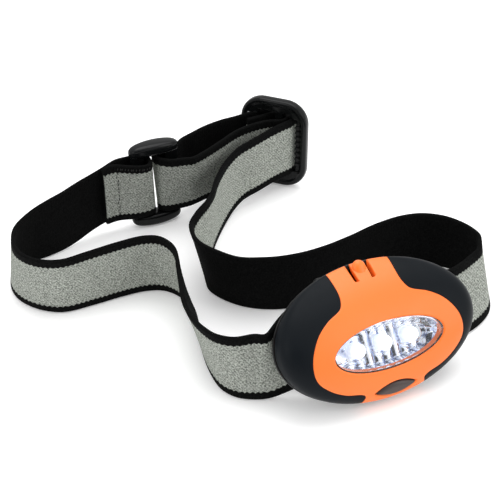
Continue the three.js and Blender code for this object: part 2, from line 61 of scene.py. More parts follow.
# z is how far the strap's foot stands above the buckle's
RING = dict(x=-36.5, y=20.0, turn=26.0, z=5.4, height=35.8, length=20.4, post=6.75)
SLIDER = dict(x=9.7, y=49.7, turn=-22.0, z=6.3, height=38.3, left=-13.9, right=14.3, corner=9.5)
LAMP = Matrix.Translation(Vector(LAMP_CENTRE)) @ Euler((0, 0, math.radians(LAMP_YAW))).to_matrix().to_4x4() \
    @ Euler((math.radians(-LAMP_LEAN), 0, 0)).to_matrix().to_4x4()
LAMP_R = np.array(LAMP.to_3x3())


def lamp_to_row(points):
    """Points in the lamp's axes (across, back, up), carried to the layout."""
    return np.asarray(points, float) @ LAMP_R.T + LAMP_CENTRE


# ---- mesh helpers
def placed(name, data):
    """A new object in the scene."""
    obj = bpy.data.objects.new(name, data)
    bpy.context.scene.collection.objects.link(obj)
    return obj


def linked(name, bm):
    """A new object in the scene from a bmesh, which is freed."""
    mesh = bpy.data.meshes.new(name)
    bm.to_mesh(mesh)
    bm.free()
    return placed(name, mesh)


def mesh_object(name, points_mm, faces, sharp):
    """A smooth-shaded piece from points in millimetres; edges over sharp degrees stay crisp."""
    mesh = bpy.data.meshes.new(name)
    mesh.from_pydata([tuple(p) for p in np.asarray(points_mm, float) * MM], [], [tuple(f) for f in faces])
    mesh.validate()
    bm = bmesh.new()
    bm.from_mesh(mesh)
    bmesh.ops.recalc_face_normals(bm, faces=bm.faces)
    bm.to_mesh(mesh)
    bm.free()
    return smooth(placed(name, mesh), sharp)


def lamp_mesh(name, points, faces, sharp):
    """The same, from points in the lamp's own axes."""
    return mesh_object(name, lamp_to_row(points), faces, sharp)


def welded(obj, distance, slivers=False):
    """Closes up points nearer than a distance in metres, and can drop the slivers that a boolean leaves."""
    bm = bmesh.new()
    bm.from_mesh(obj.data)
    bmesh.ops.remove_doubles(bm, verts=bm.verts, dist=distance)
    if slivers:
        bmesh.ops.dissolve_degenerate(bm, dist=distance, edges=bm.edges)
    bm.to_mesh(obj.data)
    bm.free()
    return obj


def smooth(obj, sharp):
    obj.data.shade_smooth()
    obj.data.set_sharp_from_angle(angle=math.radians(sharp))
    return obj


def applied(obj):
    graph = bpy.context.evaluated_depsgraph_get()
    graph.update()
    made = bpy.data.meshes.new_from_object(obj.evaluated_get(graph))
    old = obj.data
    obj.modifiers.clear()
    obj.data = made
    bpy.data.meshes.remove(old)
    return obj


def joined(name, objects):
    bm = bmesh.new()
    for o in objects:
        bm.from_mesh(o.data)
        bpy.data.objects.remove(o)
    return linked(name, bm)


def moulded(name, objects, voxel):
    """One smooth closed body from overlapping pieces, as a moulding with small fillets."""
    obj = joined(name, objects)
    remesh = obj.modifiers.new("remesh", "REMESH")
    remesh.mode = "VOXEL"
    remesh.voxel_size = voxel * MM
    soften = obj.modifiers.new("soften", "SMOOTH")
    soften.factor = 0.5
    soften.iterations = 3
    return smooth(applied(obj), 60)


def around(columns):
    """Even angles round a circle."""
    return [TURN * j / columns for j in range(columns)]


def ring(row, columns):
    """The point numbers of one closed ring."""
    return tuple(row * columns + j for j in range(columns))


def bridge(first, second, columns):
    """Quads from one closed ring of points to another."""
    a, b = ring(first, columns), ring(second, columns)
    return [(a[j], a[(j + 1) % columns], b[(j + 1) % columns], b[j]) for j in range(columns)]


def grid_faces(rows, columns):
    return [face for i in range(rows - 1) for face in bridge(i, i + 1, columns)]


def tube_faces(rows, columns):
    """A run of closed rings with both ends capped."""
    return grid_faces(rows, columns) + [ring(0, columns)[::-1], ring(rows - 1, columns)]


def squared(value, power):
    """Squares off a sine or cosine, so that a circle turns into a rounded square."""
    return math.copysign(abs(value) ** power, value)


def point_values(obj, name, values):
    obj.data.attributes.new(name, "FLOAT", "POINT").data.foreach_set("value", np.array(values, np.float32))


def block(name, centre, size, radius):
    """A box with rounded edges."""
    bm = bmesh.new()
    bmesh.ops.create_cube(bm, size=1.0)
    bmesh.ops.scale(bm, vec=Vector(size) * MM, verts=bm.verts)
    bmesh.ops.bevel(bm, geom=list(bm.edges), offset=radius * MM, segments=3, profile=0.5, affect="EDGES")
    bmesh.ops.translate(bm, vec=Vector(centre) * MM, verts=bm.verts)
    return linked(name, bm)


def onto_lamp(bm):
    """Moves a bmesh drawn in the lamp's axes and in millimetres to its place."""
    bmesh.ops.transform(bm, matrix=LAMP, verts=bm.verts)
    bmesh.ops.scale(bm, vec=(MM, MM, MM), verts=bm.verts)


def lamp_block(name, centre, size, radius):
    obj = block(name, centre, size, radius)
    for step in (Matrix.Scale(1 / MM, 4), LAMP, Matrix.Scale(MM, 4)):
        obj.data.transform(step)
    return obj


def lamp_rod(name, half_length, y, z, radius):
    """A round bar across the lamp, with its end edges rounded."""
    bm = bmesh.new()
    bmesh.ops.create_cone(bm, cap_ends=True, segments=48, radius1=radius, radius2=radius,
                          depth=2 * half_length)
    ends = [e for e in bm.edges if abs(e.verts[0].co.z - e.verts[1].co.z) < 1e-6]
    bmesh.ops.bevel(bm, geom=ends, offset=0.2, segments=3, profile=0.5, affect="EDGES")
    bmesh.ops.transform(bm, matrix=Matrix.Rotation(math.pi / 2, 4, "Y"), verts=bm.verts)
    bmesh.ops.translate(bm, vec=(0, y, z), verts=bm.verts)
    onto_lamp(bm)
    return smooth(linked(name, bm), 40)


def boolean(obj, other, operation):
    tool = obj.modifiers.new("cut", "BOOLEAN")
    tool.operation = operation
    tool.object = other
    tool.solver = "EXACT"
    applied(obj)
    bpy.data.objects.remove(other)
    return obj


# ---- material helpers
class Nodes:
    """A short way to write a node tree."""

    def __init__(self, name):
        self.material = bpy.data.materials.new(name)
        self.material.use_nodes = True
        self.tree = self.material.node_tree
        self.shader = self.tree.nodes["Principled BSDF"]

    def new(self, kind, inputs=None, **settings):
        node = self.tree.nodes.new(kind)
        for key, value in settings.items():
            setattr(node, key, value)
        for key, value in (inputs or {}).items():
            self.put(node.inputs[key], value)
        return node

    def put(self, socket, value):
        if isinstance(value, bpy.types.Node):
            value = value.outputs[0]
        if isinstance(value, bpy.types.NodeSocket):
            self.tree.links.new(value, socket)
        else:
            socket.default_value = value

    def math(self, operation, a, b=0.0):
        return self.new("ShaderNodeMath", {0: a, 1: b}, operation=operation).outputs[0]

    def mix(self, factor, *colours):
        node = self.new("ShaderNodeMix", data_type="RGBA")
        self.put(node.inputs[0], factor)
        for socket, colour in zip(node.inputs[6:8], colours):
            self.put(socket, (*colour, 1) if isinstance(colour, tuple) else colour)
        return node.outputs[2]

    def ramp(self, factor, low, high, out_low=0.0, out_high=1.0):
        sockets = {0: factor, 1: low, 2: high, 3: out_low, 4: out_high}
        return self.new("ShaderNodeMapRange", sockets).outputs[0]

    def noise(self, vector, scale, detail=3.0, rough=0.5):
        sockets = {"Vector": vector, "Scale": scale, "Detail": detail, "Roughness": rough}
        return self.new("ShaderNodeTexNoise", sockets)

    def times(self, a, b):
        return self.math("MULTIPLY", a, b)

    def plus(self, a, b):
        return self.math("ADD", a, b)

    def minus(self, a, b):
        return self.math("SUBTRACT", a, b)

    def wobble(self, noise, amount):
        """Noise centred on zero."""
        return self.times(self.minus(noise, 0.5), amount)

    def place(self):
        return self.new("ShaderNodeTexCoord").outputs["Object"]

    def attribute(self, name):
        return self.new("ShaderNodeAttribute", attribute_name=name, attribute_type="GEOMETRY").outputs["Fac"]

    def bump(self, height, strength, distance):
        return self.new("ShaderNodeBump", {"Height": height, "Strength": strength, "Distance": distance * MM})

    def set(self, **sockets):
        for key, value in sockets.items():
            self.put(self.shader.inputs[key.replace("_", " ")], value)
        return self.material


def plastic(name, colour, dark, roughness, grain, grain_depth, gloss):
    """Moulded plastic: fine grain, faint mottling, worn patches of a slightly different gloss."""
    n = Nodes(name)
    place = n.place()
    patches = n.noise(place, 18, 4)
    fine = n.noise(place, 1 / (grain * MM), 2)
    scuffs = n.noise(place, 140, 6, 0.65)
    return n.set(Base_Color=n.mix(n.ramp(patches, 0.35, 0.7), colour, dark),
                 Roughness=n.ramp(scuffs, 0.3, 0.75, roughness - 0.06, roughness + 0.08),
                 Specular_IOR_Level=gloss, Normal=n.bump(fine, 0.35, grain_depth))


def steel_material():
    """Plated steel with fine drawn lines and faint stains."""
    n = Nodes("plated_steel")
    drawn = n.new("ShaderNodeMapping", {"Vector": n.place(), "Scale": (1, 1, 6)})
    stains = n.noise(n.place(), 160, 4)
    return n.set(Base_Color=n.mix(n.ramp(stains, 0.4, 0.75), (0.62, 0.62, 0.60), (0.5332, 0.5332, 0.516)),
                 Roughness=n.ramp(stains, 0.3, 0.7, 0.23, 0.38), Metallic=1.0,
                 Normal=n.bump(n.noise(drawn, 900, 3), 0.3, 0.01))


def chrome_material():
    """Bright plating on the reflector, with painted shade down in its flutes that makes them darker and
    bluer, mottled by faint stains.
    """
    n = Nodes("reflector_chrome")
    stains = n.noise(n.place(), 260, 2)
    painted_flute_shade = n.plus(n.attribute("painted_flute_shade"), n.wobble(stains, 0.7))
    return n.set(Base_Color=n.mix(n.ramp(painted_flute_shade, 0.15, 0.75), (0.86, 0.88, 0.93), (0.14, 0.18, 0.32)),
                 Roughness=n.ramp(stains, 0.3, 0.7, 0.03, 0.09), Metallic=1.0,
                 Normal=n.bump(n.noise(n.place(), 330, 1), 0.3, 0.06))


def board_material():
    """Green solder mask over a glass weave, with paler tracks."""
    n = Nodes("circuit_board")
    place = n.place()
    weave = n.new("ShaderNodeTexWave", {"Vector": place, "Scale": 600.0, "Distortion": 1.0},
                  bands_direction="DIAGONAL")
    tracks = n.new("ShaderNodeTexVoronoi", {"Vector": place, "Scale": 420.0}, feature="DISTANCE_TO_EDGE")
    line = n.ramp(tracks.outputs["Distance"], 0.05, 0.12, 1.0, 0.0)
    return n.set(Base_Color=n.mix(line, (0.02, 0.10, 0.04), (0.04, 0.19, 0.075)), Roughness=0.4,
                 Normal=n.bump(n.plus(weave, line), 0.2, 0.03))


def lens_material():
    n = Nodes("clear_lens")
    ripple = n.noise(n.place(), 90, 2)
    return n.set(Base_Color=(0.97, 0.985, 1.0, 1), Roughness=0.02, Transmission_Weight=1.0, IOR=1.46,
                 Normal=n.bump(ripple, 0.10, 0.05))


def led_material():
    """A lit emitter: brightest on its domed end, with a cloudy, bluish side."""
    n = Nodes("lit_led")
    glow = n.attribute("glow")
    cloud = n.ramp(n.noise(n.place(), 420, 3), 0.35, 0.7, 0.82, 1.12)
    return n.set(Base_Color=(0.8, 0.86, 0.95, 1), Roughness=0.10,
                 Emission_Color=n.mix(glow, (0.76, 0.82, 1.0), (0.97, 0.98, 1.0)),
                 Emission_Strength=n.times(n.ramp(glow, 0.0, 0.8, 0.62, 1.35), cloud))


BAND_HALF = 9.7  # half the grey band's width
TWILL_PITCH, RIB_PITCH = 1.05, 1.1


def webbing_material():
    """Knitted elastic: a grey twill band between black borders on one face, black pile on the other."""
    n = Nodes("elastic_webbing")
    along, across, face = n.attribute("weave_along"), n.attribute("weave_across"), n.attribute("weave_face")
    weave = n.new("ShaderNodeCombineXYZ", {"X": along, "Y": across, "Z": n.times(face, 3.0)})
    # the band's edge is toothed by the knitting
    tooth = n.math("PINGPONG", n.plus(along, n.times(n.noise(weave, 0.6), 0.5)), 0.875)
    edge = n.minus(BAND_HALF, n.times(tooth, 0.62))
    off_middle = n.math("ABSOLUTE", n.minus(across, STRAP_MIDDLE))
    inside = n.ramp(n.minus(edge, off_middle), -0.12, 0.12)
    grey = n.times(inside, n.math("GREATER_THAN", face, 0.3))
    diagonal = n.plus(n.times(along, 0.95), n.times(across, 0.75))
    twill = n.math("SINE", n.times(diagonal, TURN / TWILL_PITCH))
    yarn = n.plus(n.times(twill, 0.22), n.wobble(n.noise(weave, 1.7, 2, 0.75), 6.4))
    yarn = n.plus(yarn, n.wobble(n.noise(weave, 0.45, 2, 0.6), 0.7))
    pale = n.mix(n.ramp(yarn, -1.0, 1.0), (0.080, 0.087, 0.077), (0.485, 0.51, 0.46))
    pale = n.mix(n.ramp(n.noise(weave, 0.08, 3), 0.3, 0.75, 0.0, 0.12), pale, (0.32, 0.335, 0.305))
    ribs = n.math("SINE", n.times(along, TURN / RIB_PITCH))
    fuzz = n.noise(weave, 2.2, 4, 0.75)
    pile = n.noise(weave, 0.7, 3, 0.7)
    black = n.mix(n.ramp(fuzz, 0.4, 0.75), (0.0010, 0.0010, 0.0012), (0.0085, 0.0090, 0.0085))
    grey_height = n.plus(n.times(yarn, 0.35), n.times(grey, 0.4))
    dark_height = n.plus(n.times(ribs, 0.10), n.plus(fuzz, n.times(pile, 1.4)))
    height = n.plus(n.times(grey_height, grey), n.times(dark_height, n.minus(1.0, grey)))
    return n.set(Base_Color=n.mix(grey, black, pale), Roughness=0.95, Specular_IOR_Level=0.06,
                 Normal=n.bump(height, 0.8, 0.2))


def thread_material():
    n = Nodes("stitch_thread")
    twist = n.new("ShaderNodeTexWave", {"Vector": n.place(), "Scale": 2500.0}, bands_direction="DIAGONAL")
    turns = twist.outputs["Fac"]
    return n.set(Base_Color=n.mix(turns, (0.006, 0.006, 0.006), (0.030, 0.031, 0.029)), Roughness=0.7,
                 Specular_IOR_Level=0.3, Normal=n.bump(turns, 0.5, 0.05))


ORANGE = plastic("orange_plastic", (0.95, 0.200, 0.026), (0.90, 0.170, 0.020), 0.38, 0.30, 0.012, 0.4)
GRIP = plastic("grip_rubber", (0.0070, 0.0090, 0.0115), (0.0050, 0.0066, 0.0085), 0.42, 0.25, 0.015, 0.07)
BLACK = plastic("black_plastic", (0.006, 0.0065, 0.007), (0.0045, 0.005, 0.005), 0.45, 0.4, 0.02, 0.25)
BUTTON = plastic("button_plastic", (0.040, 0.024, 0.020), (0.028, 0.018, 0.016), 0.42, 0.25, 0.02, 0.5)
BUCKLE = plastic("buckle_plastic", (0.0045, 0.005, 0.0055), (0.0035, 0.004, 0.004), 0.19, 0.8, 0.006, 0.17)
STEEL = steel_material()
CHROME = chrome_material()
WEBBING = webbing_material()
LENS = lens_material()
LED = led_material()
BOARD = board_material()
THREAD = thread_material()


def painted(obj, material):
    obj.data.materials.clear()
    obj.data.materials.append(material)


def finish_piece(obj, material, body, slot, *nodes):
    """Gives a piece its material and the body it rides on, and hides the CAD nodes it stands for; slot is not
    used.
    """
    painted(obj, material)
    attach(obj, body)
    if nodes:
        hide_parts(*nodes)


# ---- strap
def stand(x, y, z=0.0, lean_x=0.0, lean_y=0.0):
    """A station: where the strap's lower edge stands, and how far its upper edge leans out from there."""
    return (np.array([x, y, z], float) + SHIFT, np.array([lean_x, lean_y], float))


def by_buckle(at, u, n, head_u=None, head_n=None):
    """A station measured along (u) and across (n) a buckle; head is where the upper edge is."""
    c, s = math.cos(math.radians(at["turn"])), math.sin(math.radians(at["turn"]))
    du = 0.0 if head_u is None else head_u - u
    dn = 0.0 if head_n is None else head_n - n
    return stand(at["x"] + u * c - n * s, at["y"] + u * s + n * c, at["z"], du * c - dn * s, du * s + dn * c)


def at_ring(u, n, head_u=None, head_n=None):
    return by_buckle(RING, u, n, head_u, head_n)


def at_slider(u, n, head_u=None, head_n=None):
    return by_buckle(SLIDER, u, n, head_u, head_n)


def on_lamp(x, y_foot, y_head=None):
    """A station behind the lamp, in the lamp's axes."""
    foot, head = lamp_to_row([[x, y_foot, -11.3], [x, y_foot if y_head is None else y_head, 13.7]])
    return (foot, (head - foot)[:2])


# the strap's stations, as (x, y, z, lean x, lean y) or measured from a buckle or the lamp
LEFT_RUN = [
    on_lamp(-16.7, 11), on_lamp(-19.2, 9), on_lamp(-21.9, 8.9), (16.2, -81.6, 3.8, -5.6, 9.4),
    (11.3, -82.2, 1.6, -4.1, 3.8), (6.6, -83.1, 0.2, -1.8, 1.4), (2, -83.6, 0, -0.6, 2.4),
    (-4, -82.6, 0, -0.8, -0.4), (-8.6, -79, 0, -1.8, -2.4), (-12.5, -71, 0, -2.4, -5.8),
    (-15.6, -59.6, 0, -3.1, -10), (-17.9, -47, 0, -4, -12.4), (-20.8, -35, 0, -3.2, -10.8),
    (-25.4, -28.5, 0, -0.8, -5), (-31.4, -25.2, 0, 0.3, -2.4), (-38, -25.6, 0, 1, -1.4),
    (-46.5, -29, 0, 0.6, -1.9), (-56, -33.8, 0, 0.5, -2.6), (-66, -37.8, 0, 1.6, -3.3),
    (-75, -36, 0, 2.5, -4.4), (-82.3, -30.6, 0, 3.2, -5.2), (-86.2, -23, 0, 3.8, -6),
    (-86.4, -14.4, 0, 3.4, -5.6), (-81.6, -7.6, 0, 2.4, -3.6), (-75.4, -3.4, 0, 1.2, -1),
    (-70.2, 0.8, 0.2, 1, 0.4), (-65.6, 5.2, 1, 1, 1), (-61.2, 9.6, 2.3, 1, -0.4),
    (-56.6, 12.8, 3.8, 0.9, -0.8), at_ring(-14.5, 2.4), at_ring(-9.5, 2.6), at_ring(-4.6, 2.8),
    at_ring(-1.9, 2, -2.9, 1.6), at_ring(-1, 0, -2.7, -1.4), at_ring(-1.9, -2, -2.9, -4.2),
    at_ring(-4.6, -2.7, -4.8, -6), at_ring(-9.5, -2.5, -9.5, -5), at_ring(-13.5, -1.3, -13.5, -2.6),
    at_ring(-17, -0.6), at_ring(-21, -1.2),
]
LAMP_RUN = [
    on_lamp(-13.4, 12.8), on_lamp(-8, 12.9), on_lamp(8, 12.9), on_lamp(13.4, 12.8),
]
RIGHT_RUN = [
    on_lamp(16.7, 11), on_lamp(19.2, 8.9), on_lamp(21.9, 8.7), on_lamp(25, 8.2, 7.6), on_lamp(29.5, 8.6, 7),
    (70.6, -53.2, 0.6, -4.2, 7.4), (75.8, -49.2, 0.2, -4.6, 7.6), (80.3, -44.4, 0, -4.8, 8),
    (83.6, -39, 0, -4.7, 6.4), (85, -32, 0, -5.2, 3), (83.6, -24, 0, -3.8, -0.6), (79, -16, 0, -3.2, -2.6),
    (73, -11, 0, -3.3, -3), (66, -9.4, 0, -3.6, -2.8), (58, -11, 0, -3.5, -2.7), (48, -16, 0, -3.2, -3),
    (38, -23, 0, -3, -3.5), (28, -29.8, 0, -2.8, -3.3), (18, -34.4, 0, -2.5, -3.2), (8, -36.2, 0, -3, -3.4),
    (-1.4, -34.8, 0, -5, -3.2), (-9.4, -30.4, 0, -8.8, 3), (-14.4, -24.8, 0, -7, 9.4),
    (-15.4, -16.8, 0, -4, 7.2), (-15.1, -7.7, 0, -1, 3.2), (-13.8, 3, 0, 0, -0.8),
    (-11.4, 13, 0, -1.4, -2.6), (-8.8, 21, 0.6, -2, -2.8), (-6.4, 26.2, 1.5, -2, -2.4),
    (-2.6, 31.2, 3, -2, -2.4), (3.4, 35, 4.7, -1.6, -1.6), (9.6, 40, 5.9, -0.8, -0.8), at_slider(6.4, -4.2),
    at_slider(7.5, -2), at_slider(7.85, 0.2), at_slider(8.2, 2.4),
]
DOUBLED_RUN = [
    at_slider(6, 5.4), at_slider(2.4, 6.2), at_slider(-1.5, 5.4), at_slider(-5, 3.2), at_slider(-7.8, 0.2),
    at_slider(-10.6, -3), (-5.6, 48.6, 6), (-11.4, 45.8, 5.8), (-17.6, 41.4, 5.6), (-22.6, 36.2, 5.5),
    at_ring(14.4, 6.4), at_ring(10, 3.2), at_ring(4.9, 2.7), at_ring(2.4, 2, 1, 2),
    at_ring(1.45, 0, -0.2, 0), at_ring(2.4, -2, 0.9, -3.4), at_ring(4.9, -2.7, 4.2, -6.2),
    at_ring(9.5, -3, 10, -7.4), (-23.3, 22.9, 5.6, 1.6, -5), (-17.8, 27.4, 5.7, 1.2, -4.4),
    (-11.3, 32.9, 5.8, 0.6, -2.6), (-4.2, 39.4, 6, 0.2, -1), at_slider(-1.6, -6.4), at_slider(2, -4.1),
    at_slider(4.4, -2.8), at_slider(5.5, 0), at_slider(4.4, 2.8), at_slider(2.4, 3.4), at_slider(0.2, 2.9),
    at_slider(-3.5, -1.4), at_slider(-8.6, -7.4),
]
STATIONS = LEFT_RUN[::-1] + LAMP_RUN + RIGHT_RUN + DOUBLED_RUN
ROUTE = [stand(*s) if len(s) > 2 else s for s in STATIONS]


def catmull(points, knots, steps):
    """A Catmull-Rom curve through points, at steps places between each pair."""
    out = []
    count = len(points)
    for i in range(count - 1):
        p1, p2 = points[i], points[i + 1]
        p0 = points[i - 1] if i else 2 * p1 - p2
        p3 = points[i + 2] if i + 2 < count else 2 * p2 - p1
        t0 = knots[i] - knots[i - 1] if i else knots[i + 1] - knots[i]
        t1 = knots[i + 1] - knots[i]
        t2 = knots[i + 2] - knots[i + 1] if i + 2 < count else t1
        m1 = ((p1 - p0) / t0 - (p2 - p0) / (t0 + t1) + (p2 - p1) / t1) * t1
        m2 = ((p2 - p1) / t1 - (p3 - p1) / (t1 + t2) + (p3 - p2) / t2) * t1
        for k in range(steps):
            s = k / steps
            h = (2 * s**3 - 3 * s**2 + 1, s**3 - 2 * s**2 + s, -2 * s**3 + 3 * s**2, s**3 - s**2)
            out.append(h[0] * p1 + h[1] * m1 + h[2] * p2 + h[3] * m2)
    out.append(points[-1])
    return np.array(out)


def even(places, run, values):
    """The values at places along a line, where run is the distance of each."""
    return np.column_stack([np.interp(places, run, values[:, k]) for k in range(values.shape[1])])


def distances(points):
    return np.concatenate([[0], np.cumsum(np.linalg.norm(np.diff(points, axis=0), axis=1))])


def strap_frames(route, step):
    """The strap's lower edge and the way up from it, at even steps along its middle line."""
    feet = np.array([r[0] for r in route])
    leans = np.array([r[1] for r in route])
    gaps = np.sqrt(np.linalg.norm(np.diff(feet, axis=0), axis=1))
    knots = np.concatenate([[0], np.cumsum(gaps)])
    foot = catmull(feet, knots, 14)
    lean = catmull(leans, knots, 14)
    up = np.column_stack([lean, np.sqrt(STRAP_W**2 - (lean**2).sum(1))])
    run = distances(foot + up / 2)
    places = np.linspace(0, run[-1], int(run[-1] / step) + 1)
    return even(places, run, foot), even(places, run, up), places


def rolling(values, width):
    """A smoothing that keeps the two ends."""
    kernel = np.hanning(width + 2)[1:-1]
    kernel /= kernel.sum()
    pad = width // 2
    wide = np.concatenate([2 * values[0] - values[pad:0:-1], values, 2 * values[-1] - values[-2:-pad - 2:-1]])
    return np.column_stack([np.convolve(wide[:, k], kernel, "valid") for k in range(values.shape[1])])


BORDER = 2.9  # the thicker, ribbed border along each edge
HEM = 5.2  # the flap's turned-under end


def strap_profile():
    """The webbing's cross-section, as (height up the strap, side): a thin band with corded edges."""
    side = [24.55, 24.0, 23.0, 22.2, 21.8, 20.5, 18.5, 16, 13.5, 11.5, 9, 6.5, 4.5, 3.2, 2.8, 2.0, 1.0, 0.45]
    back = [0.45, 1.0, 2.0, 4.0, 7.0, 10.0, 12.5, 15.0, 18.0, 21.0, 23.0, 24.0, 24.55]
    edge = [(0.12, 0.62), (0.0, 0.0), (0.12, -0.62)]
    top = [(24.88, -0.62), (25.0, 0.0), (24.88, 0.62)]
    return [(h, 1.0) for h in side] + edge + [(h, -1.0) for h in back] + top


def unit(vectors):
    return vectors / np.linalg.norm(vectors, axis=1)[:, None]


def strap_mesh(name, route):
    """The strap as one closed strip, and its lines: lower edge, up, ahead, across and distances."""
    foot, up, places = strap_frames(route, 0.55)
    foot, up = rolling(foot, 5), rolling(up, 7)
    ahead = unit(np.gradient(foot + up / 2, axis=0))
    upright = unit(up)
    across = unit(np.cross(ahead, upright))
    profile = strap_profile()
    columns = len(profile)
    points, weave = [], []
    for i, place in enumerate(places):
        rib = math.sin(TURN * place / RIB_PITCH)
        for h, side in profile:
            border = 1.0 if min(h, STRAP_W - h) < BORDER else 0.0
            half = STRAP_T / 2 - 0.10 + 0.05 * border + 0.03 * rib * border
            half += 0.16 * (1 - math.tanh(2 * (place - HEM))) if side > 0 else 0.0
            reach = h - STRAP_MIDDLE
            if abs(reach) > STRAP_MIDDLE - 0.3:
                reach += math.copysign(0.06 * rib, reach)
            points.append(foot[i] + upright[i] * (STRAP_MIDDLE + reach) + across[i] * side * half)
            weave.append((place, h, side))
    faces = grid_faces(len(places), columns)
    for row in (0, len(places) - 1):
        end = ring(row, columns)
        faces += [(end[j], end[(j + 1) % columns], len(points)) for j in range(columns)]
        points.append(np.mean(points[end[0]:end[-1] + 1], axis=0))
        weave.append((places[row], STRAP_MIDDLE, 0.0))
    obj = mesh_object(name, points, faces, 70)
    for key, values in zip(("weave_along", "weave_across", "weave_face"), zip(*weave)):
        point_values(obj, key, values)
    return obj, (foot, upright, ahead, across, places)


strap, strap_line = strap_mesh("strap_webbing", ROUTE)
finish_piece(strap, WEBBING, "strap", "webbing",
             "strap_left_run", "strap_lamp_run", "strap_right_run", "strap_doubled_run")


def stitches(name, spots, lift):
    """Thread stitches on the webbing; a spot is (distance along, height, length along, length up)."""
    foot, up, ahead, across, places = strap_line
    points, faces = [], []
    rings, columns = 6, 8
    for at, height, run, rise in spots:
        i = int(np.searchsorted(places, at))
        axis = ahead[i] * run + up[i] * rise
        flank = np.cross(axis / np.linalg.norm(axis), across[i])
        base = len(points)
        for r in range(rings):
            t = r / (rings - 1) - 0.5
            thick = 0.3 + 0.7 * math.cos(t * math.pi)
            for a in around(columns):
                off = flank * math.cos(a) * 0.19 * thick + across[i] * (lift + 0.17 * thick * math.sin(a))
                points.append(foot[i] + up[i] * height + axis * t + off)
        faces += [tuple(base + v for v in f) for f in tube_faces(rings, columns)]
    finish_piece(mesh_object(name, points, faces, 60), THREAD, "strap", "webbing")


HEM_ROW = 5.6  # the row of stitches that holds the hem
hem_heights = np.arange(3.4, 22.4, 1.65)
stitches("hem_stitches", [(HEM_ROW + 0.15 * math.sin(2.1 * h), h, 0.12, 1.25) for h in hem_heights], 0.80)
stitches("border_stitches", [(at, 23.5, 0.25, 1.0) for at in np.arange(2.0, 17.5, 0.95)], 0.84)


# ---- lamp domes
def front_depth(x, z, inset=0.0):
    """Height of the front over the rim plane: nearly flat across, with a tight turn down to the rim."""
    s2 = (x / (A - inset)) ** 2 + (z / (B - inset)) ** 2
    return (FRONT - 0.08 * z - 0.0134 * z * z - inset) * np.clip(1 - s2**3, 0, 1) ** (1 / 3.5)


def disk_to_dome(p, q, inset=0.0, back=False):
    """A point of the unit disk carried onto the front or back dome, in the lamp's axes."""
    r = np.hypot(p, q)
    t = np.clip(r, 0, 1) * math.pi / 2
    k = np.where(r > TINY, np.sin(t) / np.maximum(r, TINY), math.pi / 2)
    x, z = (A - inset) * p * k, (B - inset) * q * k
    y = (BACK - inset) * np.cos(t) if back else -front_depth(x, z, inset)
    return np.stack([x, y, z], -1)


def xz_to_disk(x, z):
    """The disk point for a place across and up on the lamp."""
    s = np.hypot(x / A, z / B)
    t = np.arcsin(np.clip(s, 0, 1)) / (math.pi / 2)
    k = np.where(s > TINY, t / np.maximum(s, TINY), 2 / math.pi)
    return np.stack([x / A * k, z / B * k], -1)


def resampled(points, spacing):
    """Even points along a closed line on the dome, in disk coordinates."""
    points = np.asarray(points, float)
    points = np.vstack([points, points[:1]])
    dense = np.vstack([points[i] + (points[i + 1] - points[i]) * t for i in range(len(points) - 1)
                       for t in np.linspace(0, 1, 24, endpoint=False)[:, None]] + [points[-1:]])
    run = distances(disk_to_dome(*dense.T))
    places = np.linspace(0, run[-1], max(8, int(run[-1] / spacing)), endpoint=False)
    return even(places, run, dense)


NUDGE = 1e-4  # the step used to take a slope


def sideways(point, tangent):
    """The dome's slopes at a disk point, and the direction on the dome square to a tangent."""
    p, q = point
    here = disk_to_dome(p, q)
    moved = (disk_to_dome(p + NUDGE, q), disk_to_dome(p, q + NUDGE))
    slopes = np.column_stack([(m - here) / NUDGE for m in moved])
    normal = np.cross(slopes[:, 0], slopes[:, 1])
    square = np.cross(normal, slopes @ tangent)
    return slopes, square / max(np.linalg.norm(square), TINY)


def inward(loop, hole):
    """Unit steps (1 mm on the dome) from each point of a loop into the sheet, in disk coordinates."""
    count = len(loop)
    ahead = np.roll(loop, -1, axis=0)
    area = 0.5 * sum(loop[i][0] * ahead[i][1] - ahead[i][0] * loop[i][1] for i in range(count))
    sign = (1 if area > 0 else -1) * (-1 if hole else 1)
    steps = []
    for i in range(count):
        slopes, square = sideways(loop[i], ahead[i] - loop[i - 1])
        steps.append(np.linalg.lstsq(slopes, square * sign, rcond=None)[0])
    return np.array(steps)


def inside_loop(points, loop):
    """Which points lie inside a closed line, by counting crossings."""
    x, y = points[:, 0], points[:, 1]
    inside = np.zeros(len(points), bool)
    j = len(loop) - 1
    for i in range(len(loop)):
        xi, yi = loop[i]
        xj, yj = loop[j]
        crosses = ((yi > y) != (yj > y)) & (x < (xj - xi) * (y - yi) / (yj - yi + 1e-15) + xi)
        inside ^= crosses
        j = i
    return inside


def nearest(loops):
    """A search tree of the loops' points on the dome."""
    spots = [p for loop in loops for p in disk_to_dome(*loop.T)]
    tree = kdtree.KDTree(len(spots))
    for k, p in enumerate(spots):
        tree.insert(Vector(p), k)
    tree.balance()
    return tree


def fillet(distance, radius):
    """How far a rounded edge has dropped at a distance from it."""
    if distance >= radius:
        return 0.0
    return radius - math.sqrt(max(radius * radius - (radius - distance) ** 2, 0.0))


def within(points, loops):
    """Which points lie inside the first loop and outside the others."""
    good = inside_loop(points, loops[0])
    for loop in loops[1:]:
        good &= ~inside_loop(points, loop)
    return good


EDGE_ROWS = (0.06, 0.16, 0.32, 0.55, 0.9)  # distances from an edge of the rows of points that round it
ROW_CLEAR, GRID_CLEAR = 0.045, 1.1  # the least distance from an edge of such rows, and of the even grid


def dome_grid(spacing):
    """Even points over the disk, in a triangular pattern."""
    rows = int(2 * B / spacing) + 6
    spots = []
    for i in range(-rows, rows + 1):
        for j in range(-rows * 2, rows * 2 + 1):
            x = (j + 0.5 * (i % 2)) * spacing * 2 / (math.pi * A)
            z = i * spacing * 0.87 * 2 / (math.pi * B)
            if x * x + z * z < RIM * RIM:
                spots.append((x, z))
    return spots


